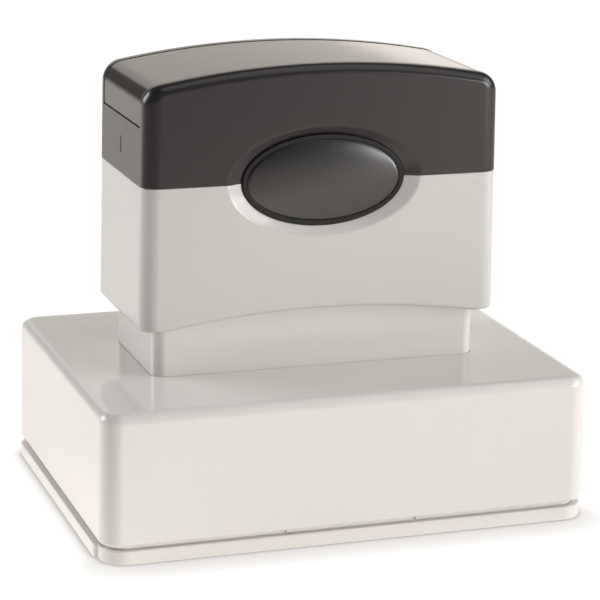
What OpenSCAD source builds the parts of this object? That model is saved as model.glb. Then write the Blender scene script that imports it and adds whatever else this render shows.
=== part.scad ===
// Pre-inked stamp: a sprung handle on a neck, an inked die inside the base, and a clip-on dust cover.
// Millimetres, +Z up. The origin is the middle of the dust cover's resting face, and the front is -Y.

/* [Base] */
// Width of the base at its lower edge
base_w = 100; // [98:0.5:115]
// Depth of the base at its lower edge
base_d = 75.2; // [74:0.2:90]
// Height of the base wall
base_h = 25.8; // [25.5:0.1:30]
// Thickness of the base wall
base_wall = 2.4; // [2.2:0.1:2.6]
// Thickness of the base roof
roof_t = 2.6; // [2.2:0.1:2.8]
// Radius of the base corners
base_r = 3.9; // [3.4:0.1:4.6]
// Radius of the base's upper edges
edge_r = 2.1; // [1.4:0.1:2.4]
// How much each side leans in from bottom to top
base_draft = 0.25; // [0.1:0.05:0.6]

/* [Dust cover] */
// Height of the dust cover rim
cover_h = 2.8; // [2.4:0.1:3.5]
// Height of the shadow gap above the rim
cover_gap = 1.25; // [0.8:0.05:1.6]
// How far the step that carries the base lies inside the base edge
seat_in = 1.1; // [0.8:0.05:1.4]
// Thickness of the tray floor
cover_floor = 1.2; // [1:0.1:1.6]
// How far the upstand reaches into the base
grip_h = 4.2; // [3.5:0.1:5]
// Thickness of the upstand
upstand_t = 1.4; // [1.2:0.1:1.6]
// How far the pull lips stand out from the rim
lip_out = 0.8; // [0.4:0.1:2]
// How far the rim lies inside the base edge
rim_inset = 0.4; // [0.1:0.05:0.6]
// Length of each pull lip, from its free end to the corner it runs into
lip_len = 69.2; // [50:0.2:71]
// Width of the snap tongue
tongue_w = 26.8; // [20:0.2:30]
// Width of the slits beside the tongue
slit = 0.5; // [0.4:0.05:0.8]
// Depth of their marks in the step that carries the base
slit_mark = 0.4; // [0.2:0.05:0.6]

/* [Neck] */
// Clearance between the neck and each end wall of the handle
neck_gap_x = 0.65; // [0.4:0.05:1.2]
// Clearance between the neck and the handle's front and back walls
neck_gap_y = 0.85; // [0.4:0.05:1.2]
// Corner radius of the neck
neck_r = 2.5; // [2.3:0.1:3.5]
// Wall thickness of the neck
neck_wall = 2; // [1.6:0.1:2.4]
// Thickness of the neck's floor and flange
flange_t = 3; // [2.6:0.1:3.4]
// How high the neck stands above the roof
neck_h = 19.5; // [16:0.1:20]

/* [Handle] */
// Width of the handle at the parting line
handle_w = 73.5; // [73:0.1:76]
// Depth of the handle
handle_d = 35.5; // [35.3:0.1:38]
// Corner radius of the handle
handle_r = 3.4; // [2.6:0.1:4.4]
// How much wider each end is at the bottom
handle_flare = 0.5; // [0:0.05:0.8]
// Wall thickness of the handle
handle_wall = 2.2; // [2:0.1:2.3]
// Clear height between the base roof and the handle
handle_lift = 9.75; // [9:0.05:11]
// Height of the white half of the handle
skirt_h = 28.6; // [28:0.1:31]
// Height of the black half at the middle of the crown
crown_h = 23; // [22:0.1:25]
// Radius of the crown along the handle
crown_r = 180; // [160:5:260]
// Radius of the crown's end corners
crown_corner = 4.2; // [3.4:0.1:5]
// Radius of the crown's front and back edges
crown_edge = 2; // [1.2:0.1:2.4]
// Radius of the arched lower edge
arch_r = 190; // [160:5:260]
// Rise of the arched lower edge
arch_rise = 2.75; // [1.5:0.05:3]

/* [Index cover] */
// Thickness of the rims in front of and behind the index cover
index_rim = 3.75; // [3.4:0.05:5]
// Thickness of the index cover
index_t = 1.6; // [1.2:0.1:1.8]
// How far the cover lies below the rims
index_sink = 0.1; // [0.05:0.05:0.4]
// Height of the cover's lower ends above the parting line
index_end = 11.35; // [9:0.05:12]

/* [Badge] */
// Half width of the badge
badge_a = 16.8; // [14:0.2:17.4]
// Half height of the badge
badge_b = 9.1; // [8:0.1:9.4]
// Width of the badge rim
bezel_w = 1.1; // [0.8:0.05:1.4]
// Height of the badge rim above the recess floor
bezel_h = 1.3; // [1:0.05:1.5]
// Thickness of the badge floor under the dome
bezel_floor = 0.5; // [0.4:0.05:0.7]
// Rise of the dome
dome_rise = 1.2; // [0.8:0.05:1.3]
// Depth of the badge recess
badge_sink = 2; // [1.6:0.1:2.1]
// Width of the recess against the badge, as a factor
badge_flare = 1.175; // [1.1:0.005:1.2]

/* [Mechanism] */
// Press travel of the handle
travel = 6; // [4:0.1:6.4]
// How far the die goes past the base edge when pressed
die_proud = 0.3; // [0.1:0.05:0.5]
// Distance of each guide post from the end wall inside the handle
post_inset = 18.45; // [17.4:0.05:20]
// Radius of the guide posts
post_r = 3.5; // [3:0.1:3.6]
// Running clearance around the posts
post_fit = 0.35; // [0.3:0.05:0.5]
// Mean radius of the springs
coil_r = 6.6; // [6.4:0.1:7]
// Radius of the spring wire
wire_r = 0.6; // [0.4:0.05:0.65]
// Open turns of each spring
coil_turns = 6; // [4:1:7]
// Thickness of the ink pad
pad_t = 4; // [3:0.1:4.4]

/* [Screws] */
// Head radius of the small screws
head_r = 2.7; // [2.4:0.1:2.8]
// Head height of the small screws
head_h = 1.4; // [1.2:0.1:1.6]
// Shank radius of all screws
shank_r = 1.15; // [1:0.05:1.2]
// How deep the small screws bite
bite = 7; // [5:0.5:8]
// Head radius of the neck screws
washer_r = 4; // [3.6:0.1:4.2]

/* [Hidden] */
$fn = 48;
eps = 0.01;
fit = 0.35;

white = "#e6e2dc";
black = "#2a2829";
steel = "#b9babc";

// Heights, from the floor up
z_base = cover_h + cover_gap;
z_roof = z_base + base_h;
z_ceil = z_roof - roof_t;
z_floor = z_ceil - flange_t;
z_grip = z_base + grip_h;
z_neck = z_roof + neck_h;
z_skirt = z_roof + handle_lift;
z_part = z_skirt + skirt_h;
z_crown = z_part + crown_h;
z_index = z_part + index_end;
z_plate = z_part - 5.5;
plate_t = 3;

// The die stack at rest
z_face = z_base - die_proud + travel;
relief = 0.6;
sheet_t = 1.8;
rim_t = 1;
z_sheet = z_face + relief;
z_rim = z_sheet + sheet_t - rim_t;
z_pad = z_rim + rim_t;
z_carrier = z_pad + pad_t;
carrier_t = 2.6;
z_carrier_top = z_carrier + carrier_t;

// Plan sizes, from the outside in
inner_w = base_w - 2 * base_wall;
inner_d = base_d - 2 * base_wall;
up_w = inner_w - 2 * fit;
up_d = inner_d - 2 * fit;
clear_w = up_w - 2 * upstand_t;
clear_d = up_d - 2 * upstand_t;
frame_w = clear_w - 1.4;
frame_d = clear_d - 1.4;
frame_wall = 1.2;
carrier_w = frame_w - 2 * frame_wall - 0.3;
carrier_d = frame_d - 2 * frame_wall - 0.3;
carrier_wall = 1.6;
pad_w = carrier_w - 2 * carrier_wall - 0.4;
pad_d = carrier_d - 2 * carrier_wall - 0.4;
field_w = pad_w - 6;
field_d = pad_d - 6;
hin_w = handle_w - 2 * handle_wall;
hin_d = handle_d - 2 * handle_wall;
neck_w = hin_w - 2 * neck_gap_x;
neck_d = hin_d - 2 * neck_gap_y;
index_w = handle_d - 2 * index_rim;
post_x = hin_w / 2 - post_inset;
ledge_w = 2.2;
rib_t = 1.6;
rib_x = inner_w / 2 - 17.6;
rib_y = inner_d / 2 - 15.2;
tab_w = 8;
tab_d = 3;
tab_x = frame_w / 2 - 19.15;

// Fasteners
tower_r = coil_r - wire_r - 0.7;
tower_h = 12;
flange_w = neck_w + 14;
flange_d = neck_d + 14;
neck_screw_x = 24;
neck_screw_y = neck_d / 2 + 3.6;
boss_r = 2.8;
boss_h = flange_t - 0.1;
pilot = 0.1;
grip_screw_x = post_x + coil_r + wire_r + head_r + 2.1;

// Springs
coil_len = z_plate - z_ceil - 0.1;
coil_side = 6;
coil_ring = 12;
end_pitch = 2 * wire_r + 0.55;
all_turns = coil_turns + 2;
open_pitch = (coil_len - 2 * wire_r - 2 * end_pitch) / coil_turns;
echo(coil_gap = min(end_pitch, open_pitch) - 2 * wire_r);

// A rectangle with rounded corners
module rrect(w, d, r) {
  square([w - 2 * r, d], center = true);
  square([w, d - 2 * r], center = true);
  for (x = [-1, 1], y = [-1, 1]) translate([x * (w / 2 - r), y * (d / 2 - r)]) circle(r);
}

// A prism on that rectangle, between two heights
module rbox(w, d, r, z0, z1) {
  translate([0, 0, z0]) linear_extrude(z1 - z0) rrect(w, d, r);
}

// A plain box between two heights, centred in plan
module slab(w, d, z0, z1) {
  translate([-w / 2, -d / 2, z0]) cube([w, d, z1 - z0]);
}

// A rod between two heights
module rod(x, y, r, z0, z1) {
  translate([x, y, z0]) cylinder(r = r, h = z1 - z0);
}

// An oval prism along Y on the handle's front, from depth d0 to depth d1 below the face
module oval(a, b, d0, d1, s = 1) {
  translate([0, d1 - handle_d / 2, z_part]) rotate([90, 0, 0]) linear_extrude(d1 - d0, scale = s)
    polygon([for (i = [0:63]) [a * cos(i * 5.625), b * sin(i * 5.625)]]);
}

// Outline of the black half seen from the front, drawn in by i
function crown_c(i) = max(crown_corner - i, 0.6);
function crown_x(i) = handle_w / 2 - 0.3 - i - crown_c(i);
function crown_z(i) = z_crown - crown_r + sqrt(pow(crown_r - i - crown_c(i), 2) - pow(crown_x(i), 2));
function crown_a(i) = atan2(crown_z(i) - z_crown + crown_r, crown_x(i));
function crown_side(i, s) = [for (k = [0:8]) let (a = crown_a(i) * k / 8)
  [s * (crown_x(i) + crown_c(i) * cos(a)), crown_z(i) + crown_c(i) * sin(a)]];
function crown_arc(i) = [for (k = [1:23]) let (a = crown_a(i) + (180 - 2 * crown_a(i)) * k / 24)
  [(crown_r - i) * cos(a), z_crown - crown_r + (crown_r - i) * sin(a)]];
function turned(v) = [for (k = [len(v) - 1:-1:0]) v[k]];
function outline(i, z0) = concat([[handle_w / 2 - i, z0]], crown_side(i, 1), crown_arc(i),
  turned(crown_side(i, -1)), [[i - handle_w / 2, z0]]);

// That outline as a block centred on Y
module crown_block(i, d, z0) {
  translate([0, d / 2, 0]) rotate([90, 0, 0]) linear_extrude(d) polygon(outline(i, z0));
}

// A helical wire with a closed turn at each end
function coil_z(t) = t < 1 ? end_pitch * t : t > all_turns - 1
  ? coil_len - 2 * wire_r - end_pitch * (all_turns - t) : end_pitch + open_pitch * (t - 1);
function coil_pt(t, k) = let (a = 360 * t, b = 360 * k / coil_side + 30, r = coil_r + wire_r * cos(b))
  [r * cos(a), r * sin(a), wire_r + coil_z(t) + wire_r * sin(b)];
module coil(x) {
  n = all_turns * coil_ring;
  m = coil_side;
  pts = [for (i = [0:n], k = [0:m - 1]) coil_pt(i / coil_ring, k)];
  wall_a = [for (i = [0:n - 1], k = [0:m - 1]) [i * m + k, (i + 1) * m + k, (i + 1) * m + (k + 1) % m]];
  wall_b = [for (i = [0:n - 1], k = [0:m - 1]) [i * m + k, (i + 1) * m + (k + 1) % m, i * m + (k + 1) % m]];
  cap_a = [for (k = [1:m - 2]) [0, k, k + 1]];
  cap_b = [for (k = [1:m - 2]) [n * m, n * m + k + 1, n * m + k]];
  translate([x, 0, z_ceil + 0.05]) polyhedron(pts, concat(wall_a, wall_b, cap_a, cap_b));
}

// A screw from below: its head hangs under z0 and its shank goes up
module screw(x, y, z0, head_r, head_h, shank_r, len) {
  difference() {
    union() {
      rod(x, y, head_r, z0 - head_h, z0);
      rod(x, y, shank_r, z0 - eps, z0 + len);
    }
    for (a = [0, 90]) translate([x, y, z0 - head_h]) rotate([0, 0, a])
      cube([head_r * 1.1, 0.6, 1.2], center = true);
  }
}

// Tray under the base, with an upstand that grips it and a lip at each end to pull it off by
module dust_cover() color(white) {
  rim_w = base_w - 2 * rim_inset;
  rim_d = base_d - 2 * rim_inset;
  difference() {
    union() {
      linear_extrude(cover_h) {
        rrect(rim_w, rim_d, 5);
        for (turn = [0, 180]) rotate(turn) intersection() {
          rrect(rim_w + 2 * lip_out, rim_d, 5);
          translate([(6 - rim_w) / 2 - lip_out, rim_d / 2]) rrect(6, 2 * lip_len, 1.4);
        }
      }
      rbox(base_w - 2 * seat_in, base_d - 2 * seat_in, 4, eps, z_base);
      rbox(up_w, up_d, 1.4, eps, z_grip);
      for (s = [-1, 1]) translate([-tongue_w / 2 + 2, s * up_d / 2, z_base + 1.6]) rotate([0, 90, 0])
        linear_extrude(tongue_w - 4)
          polygon([[-0.6, -s * 0.3], [0.6, -s * 0.3], [0.6, 0], [0, s * 0.2], [-0.6, 0]]);
    }
    rbox(clear_w, clear_d, 1, cover_floor, z_grip + 1);
    for (s = [-1, 1], x = [-1, 1]) translate([x * tongue_w / 2, 0, cover_h]) {
      translate([-slit / 2, s * (up_d - upstand_t) / 2 - upstand_t / 2 - 0.2, 0])
        cube([slit, upstand_t + 0.4, z_grip]);
      translate([-slit / 2, s * (base_d / 2 - seat_in) - slit_mark, 0])
        cube([slit, 2 * slit_mark, z_grip]);
    }
  }
}

// White skirt around the die
module base_housing() color(white) {
  difference() {
    hull() {
      rbox(base_w, base_d, base_r, z_base, z_base + 0.02);
      for (k = [0:6]) let (i = edge_r * (1 - cos(k * 15)), z = z_roof - edge_r * (1 - sin(k * 15)))
        rbox(base_w - 2 * (base_draft + i), base_d - 2 * (base_draft + i), base_r - i, z - 0.02, z);
    }
    rbox(inner_w, inner_d, 1.8, z_base - 1, z_ceil);
    rbox(neck_w + 0.3, neck_d + 0.3, neck_r, z_ceil - 1, z_roof + 1);
  }
  rib = fit + upstand_t;
  for (x = [-1, 1], s = [-1, 1])
    translate([x * rib_x - rib_t / 2, s * (inner_d / 2 - rib / 2 + 0.1) - rib / 2 - 0.1, z_grip])
      cube([rib_t, rib + 0.2, z_ceil - z_grip + 0.2]);
  for (y = [-1, 1], s = [-1, 1])
    translate([s * (inner_w / 2 - rib / 2 + 0.1) - rib / 2 - 0.1, y * rib_y - rib_t / 2, z_grip])
      cube([rib + 0.2, rib_t, z_ceil - z_grip + 0.2]);
  for (x = [-1, 1], y = [-1, 1]) difference() {
    rod(x * neck_screw_x, y * neck_screw_y, boss_r, z_ceil - boss_h, z_ceil + 0.2);
    rod(x * neck_screw_x, y * neck_screw_y, shank_r + pilot, z_ceil - boss_h - 1, z_ceil + 0.1);
  }
}

// Collar the handle slides on, with a flange under the roof and two guide towers
module neck_sleeve() color(white) {
  difference() {
    union() {
      rbox(flange_w, flange_d, 2.5, z_floor, z_ceil);
      rbox(neck_w, neck_d, neck_r, z_floor + eps, z_neck);
    }
    rbox(neck_w - 2 * neck_wall, neck_d - 2 * neck_wall, 1, z_ceil, z_neck + 1);
    for (x = [-1, 1]) rod(x * post_x, 0, post_r + post_fit, z_floor - 1, z_ceil + 1);
    for (x = [-1, 1], y = [-1, 1])
      rod(x * neck_screw_x, y * neck_screw_y, boss_r + 0.15, z_floor - 1, z_ceil + 1);
  }
  for (x = [-1, 1]) difference() {
    rod(x * post_x, 0, tower_r, z_ceil - 0.2, z_ceil + tower_h);
    rod(x * post_x, 0, post_r + post_fit, z_ceil - 1, z_ceil + tower_h + 1);
  }
}

// Washer-head screws that hold the neck's flange
module neck_screws() color(steel) {
  for (x = [-1, 1], y = [-1, 1])
    screw(x * neck_screw_x, y * neck_screw_y, z_floor, washer_r, head_h + 0.2, shank_r, flange_t - 0.4);
}

// Plate and guide posts that tie the handle to the die
module plunger() color("#d9d6d0") {
  difference() {
    union() {
      rbox(hin_w - 0.6, hin_d - 4, 1.5, z_plate, z_plate + plate_t);
      for (x = [-1, 1]) rod(x * post_x, 0, post_r, z_carrier_top, z_plate + eps);
    }
    for (x = [-1, 1]) rod(x * post_x, 0, shank_r + pilot, z_carrier_top - 1, z_carrier_top + bite + 2);
    for (x = [-1, 1]) rod(x * grip_screw_x, 0, shank_r + 0.4, z_plate - 1, z_plate + plate_t + 1);
  }
}

// Screws that clamp the plunger under the handle top
module handle_screws() color(steel) {
  for (x = [-1, 1]) screw(x * grip_screw_x, 0, z_plate, head_r, head_h, shank_r, plate_t + bite);
}

// Return springs around the posts
module spring_left() color(steel) coil(-post_x);
module spring_right() color(steel) coil(post_x);

// Tray that carries the pad, with a socket for each post
module die_carrier() color("#3a3a3c") {
  difference() {
    rbox(carrier_w, carrier_d, 1.5, z_rim, z_carrier_top);
    rbox(carrier_w - 2 * carrier_wall, carrier_d - 2 * carrier_wall, 0.8, z_rim - 1, z_carrier);
    for (x = [-1, 1]) rod(x * post_x, 0, shank_r + 0.3, z_carrier - 1, z_carrier_top + 1);
    for (x = [-1, 1]) rod(x * post_x, 0, head_r + 0.25, z_carrier - 1, z_carrier + head_h + 0.1);
  }
  for (x = [-1, 1]) difference() {
    rod(x * post_x, 0, post_r + 2.4, z_carrier_top - 0.2, z_floor);
    rod(x * post_x, 0, post_r + 0.15, z_carrier_top - 1, z_floor + 1);
  }
}

// Screws up through the carrier into the posts
module carrier_screws() color(steel) {
  for (x = [-1, 1]) screw(x * post_x, 0, z_carrier + head_h + 0.1, head_r, head_h, shank_r,
    carrier_t - head_h + bite);
}

// Foam that holds the ink
module ink_pad() color("#3b3f52") {
  rbox(pad_w, pad_d, 0.6, z_pad, z_carrier);
}

// Soft printing plate with a plain raised border and bars
module die_plate() color("#7d6a62") {
  rbox(pad_w, pad_d, 0.6, z_rim, z_pad);
  rbox(field_w, field_d, 0.6, z_sheet, z_rim + eps);
  difference() {
    slab(field_w - 6, field_d - 6, z_face, z_sheet + eps);
    slab(field_w - 9, field_d - 9, z_face - 1, z_sheet + 1);
  }
  for (k = [-1, 0, 1]) translate([0, k * field_d / 5, 0])
    slab(field_w * (0.6 - 0.14 * k * k), 4, z_face, z_sheet + eps);
}

// Clip-on frame that holds the plate and the pad in the carrier
module die_frame() color("#4a4a4d") {
  difference() {
    rbox(frame_w, frame_d, 1.8, z_sheet, z_carrier_top);
    rbox(carrier_w + 0.3, carrier_d + 0.3, 1.5, z_rim, z_carrier_top + 1);
    rbox(field_w + 0.8, field_d + 0.8, 0.8, z_sheet - 1, z_rim + 1);
  }
  for (x = [-1, 1], s = [-1, 1])
    translate([x * tab_x - tab_w / 2, s * (frame_d - tab_d) / 2 - tab_d / 2, z_carrier_top])
      cube([tab_w, tab_d, 1]);
  for (s = [-1, 1])
    translate([s * (frame_w - tab_d) / 2 - tab_d / 2, -tab_w / 2, z_carrier_top]) cube([tab_d, tab_w, 1]);
}

// Sloped oval cut for the badge, through both halves of the handle
module badge_cut() {
  oval(badge_a + 0.2, badge_b + 0.2, -eps, badge_sink, badge_flare);
}

// White lower half of the handle
module handle_skirt() color(white) {
  difference() {
    union() {
      difference() {
        hull() {
          rbox(handle_w + 2 * handle_flare, handle_d, handle_r, z_skirt, z_skirt + 0.02);
          rbox(handle_w, handle_d, handle_r, z_part - 0.02, z_part);
        }
        rbox(hin_w, hin_d, 1.6, z_skirt - 1, z_part + 1);
      }
      intersection() {
        oval(badge_a + 1.6, badge_b + 1.2, handle_wall - 0.2, handle_wall + 1.4);
        slab(handle_w, handle_d, z_skirt, z_part);
      }
      for (s = [-1, 1]) translate([s * (hin_w - ledge_w + 0.2) / 2 - ledge_w / 2 - 0.1, -9, z_plate - 5.6])
        cube([ledge_w + 0.2, 18, 5.6]);
    }
    badge_cut();
    translate([0, handle_d / 2 + 1, z_skirt + arch_rise - arch_r]) rotate([90, 0, 0])
      cylinder(r = arch_r, h = handle_d + 2, $fn = 240);
  }
}

// Black upper half of the handle, with a bed for the index cover
module handle_top() color(black) {
  bed = index_sink + index_t + 0.6;
  boss_z = z_crown - crown_r + sqrt(pow(crown_r, 2) - pow(grip_screw_x + 3.4, 2));
  difference() {
    union() {
      intersection() {
        hull() for (k = [0:5]) let (a = k * 18)
          crown_block(crown_edge * (1 - cos(a)), handle_d - 2 * crown_edge * (1 - sin(a)), z_part);
        rbox(handle_w, handle_d, handle_r, z_part, z_crown + 1);
      }
      difference() {
        rbox(hin_w - 0.3, hin_d - 0.3, 1.5, z_part - 1.8, z_part + 0.2);
        rbox(hin_w - 2.7, hin_d - 2.7, 0.6, z_part - 3, z_part + 1);
        translate([-badge_a - 3, -handle_d / 2, z_part - 3]) cube([2 * badge_a + 6, 8, 3]);
      }
    }
    difference() {
      translate([0, 0, z_index]) slab(handle_w + 2, index_w, 0, crown_h);
      crown_block(bed, index_w + 2, z_part);
    }
    difference() {
      union() {
        crown_block(bed + 2, hin_d, z_part - 3);
        slab(hin_w - 2.7, hin_d - 2.7, z_part - 3, z_part + 0.3);
      }
      oval(badge_a + 1.6, badge_b + 1.2, 0, handle_wall + 1.4);
    }
    badge_cut();
    for (s = [-1, 1]) translate([s * handle_w / 2 - 0.6, -0.25, z_part + 4.1]) cube([1.2, 0.5, 3.2]);
  }
  for (x = [-1, 1]) difference() {
    rod(x * grip_screw_x, 0, 3.4, z_plate + plate_t, boss_z - bed - 1);
    rod(x * grip_screw_x, 0, shank_r + pilot, z_plate + plate_t - 1, z_plate + plate_t + bite + 2);
  }
}

// Oval rim of the badge
module badge_bezel() color(black) {
  difference() {
    oval(badge_a, badge_b, badge_sink - bezel_h, badge_sink);
    oval(badge_a - bezel_w, badge_b - bezel_w, badge_sink - bezel_h - 1, badge_sink - bezel_floor);
  }
}

// Domed insert of the badge, left bare
module badge_dome() color("#161617") {
  hull() for (k = [0:6]) let (a = k * 13.5)
    oval((badge_a - bezel_w - 0.1) * cos(a), (badge_b - bezel_w - 0.1) * cos(a),
      badge_sink - bezel_floor - 0.02 - dome_rise * sin(a), badge_sink - bezel_floor);
}

// Blank card under the index cover
module index_card() color("#f4f2ec") {
  bed = index_sink + index_t + 0.6;
  intersection() {
    difference() {
      crown_block(bed - 0.3, index_w - 1.6, z_part);
      crown_block(bed, index_w, z_part - 1);
    }
    slab(handle_w - 14, index_w, z_part, z_crown);
  }
}

// Strip over the crown that wraps down both ends
module index_cover() color("#4a4645") {
  difference() {
    crown_block(index_sink, index_w - 0.4, z_part);
    crown_block(index_sink + index_t, index_w, z_part - 1);
    slab(handle_w, index_w, z_part - 1, z_index);
    difference() {
      slab(handle_w, index_w, z_index - 1, z_index + 0.2);
      slab(handle_w - 2 * index_sink - index_t, index_w, z_index - 2, z_index + 1);
    }
  }
}

dust_cover();
base_housing();
neck_sleeve();
neck_screws();
plunger();
handle_screws();
spring_left();
spring_right();
die_carrier();
carrier_screws();
ink_pad();
die_plate();
die_frame();
handle_skirt();
handle_top();
badge_bezel();
badge_dome();
index_card();
index_cover();
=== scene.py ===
"""Pre-inked stamp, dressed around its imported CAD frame. Shapes are made in millimetres and end in metres."""
import math

import bmesh
import bpy
from mathutils import Matrix, Vector


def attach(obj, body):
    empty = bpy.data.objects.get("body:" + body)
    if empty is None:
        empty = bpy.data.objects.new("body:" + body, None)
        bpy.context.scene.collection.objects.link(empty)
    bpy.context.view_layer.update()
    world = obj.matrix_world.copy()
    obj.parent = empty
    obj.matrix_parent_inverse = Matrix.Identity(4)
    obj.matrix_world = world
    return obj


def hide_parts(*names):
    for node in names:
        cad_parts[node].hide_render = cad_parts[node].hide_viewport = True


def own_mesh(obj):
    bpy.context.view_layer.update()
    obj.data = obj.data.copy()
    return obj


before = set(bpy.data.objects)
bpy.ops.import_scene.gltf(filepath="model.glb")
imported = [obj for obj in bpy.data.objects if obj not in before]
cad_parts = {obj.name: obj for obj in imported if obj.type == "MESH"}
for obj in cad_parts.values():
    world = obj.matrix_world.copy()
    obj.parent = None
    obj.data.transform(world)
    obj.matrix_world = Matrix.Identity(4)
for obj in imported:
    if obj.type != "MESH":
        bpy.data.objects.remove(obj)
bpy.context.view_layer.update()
scene = bpy.context.scene

MM = 0.001

# Heights of the stamp, from the resting face up
Z_SEAT_ROOT = 0.6
Z_UPSTAND_ROOT = 0.8
Z_TRAY = 1.2
Z_RIM_TOP = 2.8
Z_BASE = 4.05
Z_GRIP = 8.25
Z_FACE = 9.75
Z_SHEET = 10.35
Z_PLATE_BACK = 11.15
Z_PAD = 12.15
Z_CARRIER = 16.15
Z_FRAME_TOP = 18.75
Z_FLANGE = 24.25
Z_CEILING = 27.25
Z_ROOF = 29.85
Z_TOWER = 39.25
Z_SKIRT = 39.6
Z_NECK = 49.35
Z_LEDGE = 62.7
Z_PART = 68.2
Z_INDEX = 79.55
Z_CROWN = 91.2

# Plan sizes
BASE = (100.0, 75.2)
ROOM = (95.2, 70.4)
RIM = (99.2, 74.4)
SEAT = (97.5, 72.7)
UPSTAND = (94.5, 69.7)
TRAY = (91.7, 66.9)
CLIP_FRAME = (90.3, 65.5)
CARRIER = (87.9, 63.1)
PAD = (84.0, 59.2)
FIELD = (78.0, 53.2)
NECK = (67.8, 29.4)
HANDLE = (73.5, 35.5)
HANDLE_ROOM = (69.1, 31.1)
HANDLE_FLARE = 0.5
POST_X = 16.1

# Rounds and arcs
RIM_ROUND = 5.0
SEAT_ROUND = 4.0
SEAT_FOOT_ROUND = 3.55
CHANNEL_ROUND = 3.4
UPSTAND_ROUND = 1.4
TRAY_ROUND = 1.0
LIP_ROUND = 1.4
ROOM_ROUND = 1.8
NECK_ROUND = 2.5
BASE_ROUND = 3.9
BASE_EDGE = 2.1
BASE_DRAFT = 0.25
HANDLE_ROUND = 3.4
CROWN_EDGE = 2.0
CROWN_CORNER = 4.2
CROWN_CORNER_LEAST = 0.6
CROWN_SHOULDER = 0.3
CROWN_ARC = 180.0
ARCH_ARC = 190.0
ARCH_RISE = 2.75

# Dust cover: pull lips, snap beads, the slits beside them, and the dark foot of the shadow gap
LIP_OUT = 0.8
LIP_STOCK = 6.0
LIP_LENGTH = 69.2
BEAD = (22.8, 0.5)
BEAD_HEIGHTS = (1.0, 2.2)
BEAD_SINK = 0.05
BEAD_ROUND = 0.19
SLIT_X = 13.4
SLIT = (0.5, 1.8)
SLIT_MARK = (0.5, 0.8)
UPSTAND_WALL = 1.4
SEAT_UNDERCUT = 0.9
SEAT_FOOT_RISE = (0.3, 0.5)
CHANNEL = (RIM[0] - 0.9, SEAT[1] - 1.2)
CHANNEL_DEPTH = 0.5
RIM_FOOT_EDGE = 0.5
RIM_TOP_EDGE = 0.25

# Inside the base: ribs, screw bosses and their pilot holes
RIB = (1.6, 1.95)
RIB_PLACE = (30.0, 20.0)
RIB_MIDDLE = 0.775
BOSS_PLACE = (24.0, 18.3)
BOSS = 2.8
BOSS_HOLE = 2.95
BOSS_DROP = 2.9
PILOT = 1.25
PILOT_DROP = 4.0

# Neck: its flange, its wall, and the towers that guide the posts
NECK_GAP = 0.1
NECK_FLANGE = 14.0
NECK_HOLLOW = 4.0
NECK_HOLLOW_ROUND = 1.0
NECK_ROOT = 0.5
TOWER = 5.3
TOWER_BORE = 3.85

# Handle: inside of its white half, its lower edge, and the mould marks on the ends of its black half
HANDLE_ROOM_ROUND = 1.6
LEDGE = (2.4, 18.0)
LEDGE_HEIGHT = 5.6
LEDGE_MIDDLE = 1.0
LOW_EDGE = 0.75
LOW_OUTSIDE = (35.3, 16.2)
MARK = (1.2, 0.5)
MARK_HEIGHTS = (4.1, 7.3)

# Index cover in its bed
INDEX_WIDTH = 28.0
INDEX_SINK = 0.1
INDEX_THICK = 1.6
INDEX_BED = 2.3
INDEX_PLAY = 0.4
INDEX_FOOT = 0.2
CROWN_WALL = 2.0

# Badge in its oval recess
BADGE = (16.8, 9.1)
RECESS = (17.0, 9.3)
RECESS_DEPTH = 2.0
RECESS_FLARE = 1.17
RECESS_LIP = 1.25
RECESS_SOFT = 0.35
RECESS_REACH = 21.0
SLOT_GAP = 0.06
SLOT_TOP = 0.2
BACKING = (BADGE[0] + 1.6, BADGE[1] + 1.2)
BACKING_DEPTHS = (3.6, 1.9)
BACKING_BELOW = (60.0, 60.0)
RING_WIDTH = 1.1
RING_DEPTH = 0.92
RING_FLOOR = 1.5
LENS_INSET = 1.13
LENS_SEAT = 1.48
DOME_RISE = 1.2
DOME_CAP = 0.66

# The dome as the cap of a ball whose rim has a radius of 1: where its centre lies below the rim, the arc that
# is turned, which stops just short of the pole, and the height that it reaches
CAP_CENTRE = 0.57735
CAP_ARC = 56.0
CAP_TOP = 0.5745

# Springs
WIRE = 0.6
COIL = 6.6
COIL_TURNS = 6
COIL_END_GAP = 0.55
COIL_PLAY = 0.05

# Printing plate, ink pad and clip frame
PLATE_ROUND = 0.6
PLATE_ROOT = 0.4
BORDER = (6.0, 9.0)
BAR_DEPTH = 4.0
BAR_STEP = FIELD[1] / 5
BARS = ((-1, 0.46), (0, 0.6), (1, 0.46))
PAD_PLAY = 0.1
PAD_ROUND = 1.2
PAD_EDGE = 0.5
PAD_LONG = 20.0
CLIP_ROUND = 1.8
CARRIER_ROUND = 1.5
WINDOW_GAP = 0.8
WINDOW_ROUND = 0.8
TAB = (8.0, 3.0)
TAB_X = 26.0
TAB_ROOT = 0.4

# Working values: how far a tool reaches past what it cuts, how far a joined shape is sunk, what counts as
# level or as lying on a plane, how close points are merged, the bend in degrees that is taken as flat, the
# angles in radians from which an edge counts as sharp, and the segments of a fine round
PAST = 1.0
SUNK = 0.2
NEAR = 0.1
TOUCH = 0.02
FLUSH = 0.001
WELD = 0.0005
FLAT_BEND = 0.2
SHARP_BRINK = 0.3
SHARP_LOW = 0.8
FINE_ARC = 12

# Signs of the two sides and of the four corners
SIDES = (-1, 1)
CORNERS = [(x, y) for x in SIDES for y in SIDES]

# Grain of the moulded plastics: how many cells of tone and of mould skin lie in a metre
DRIFT_SCALE = 38.0
SKIN_SCALE = 1500.0


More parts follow.
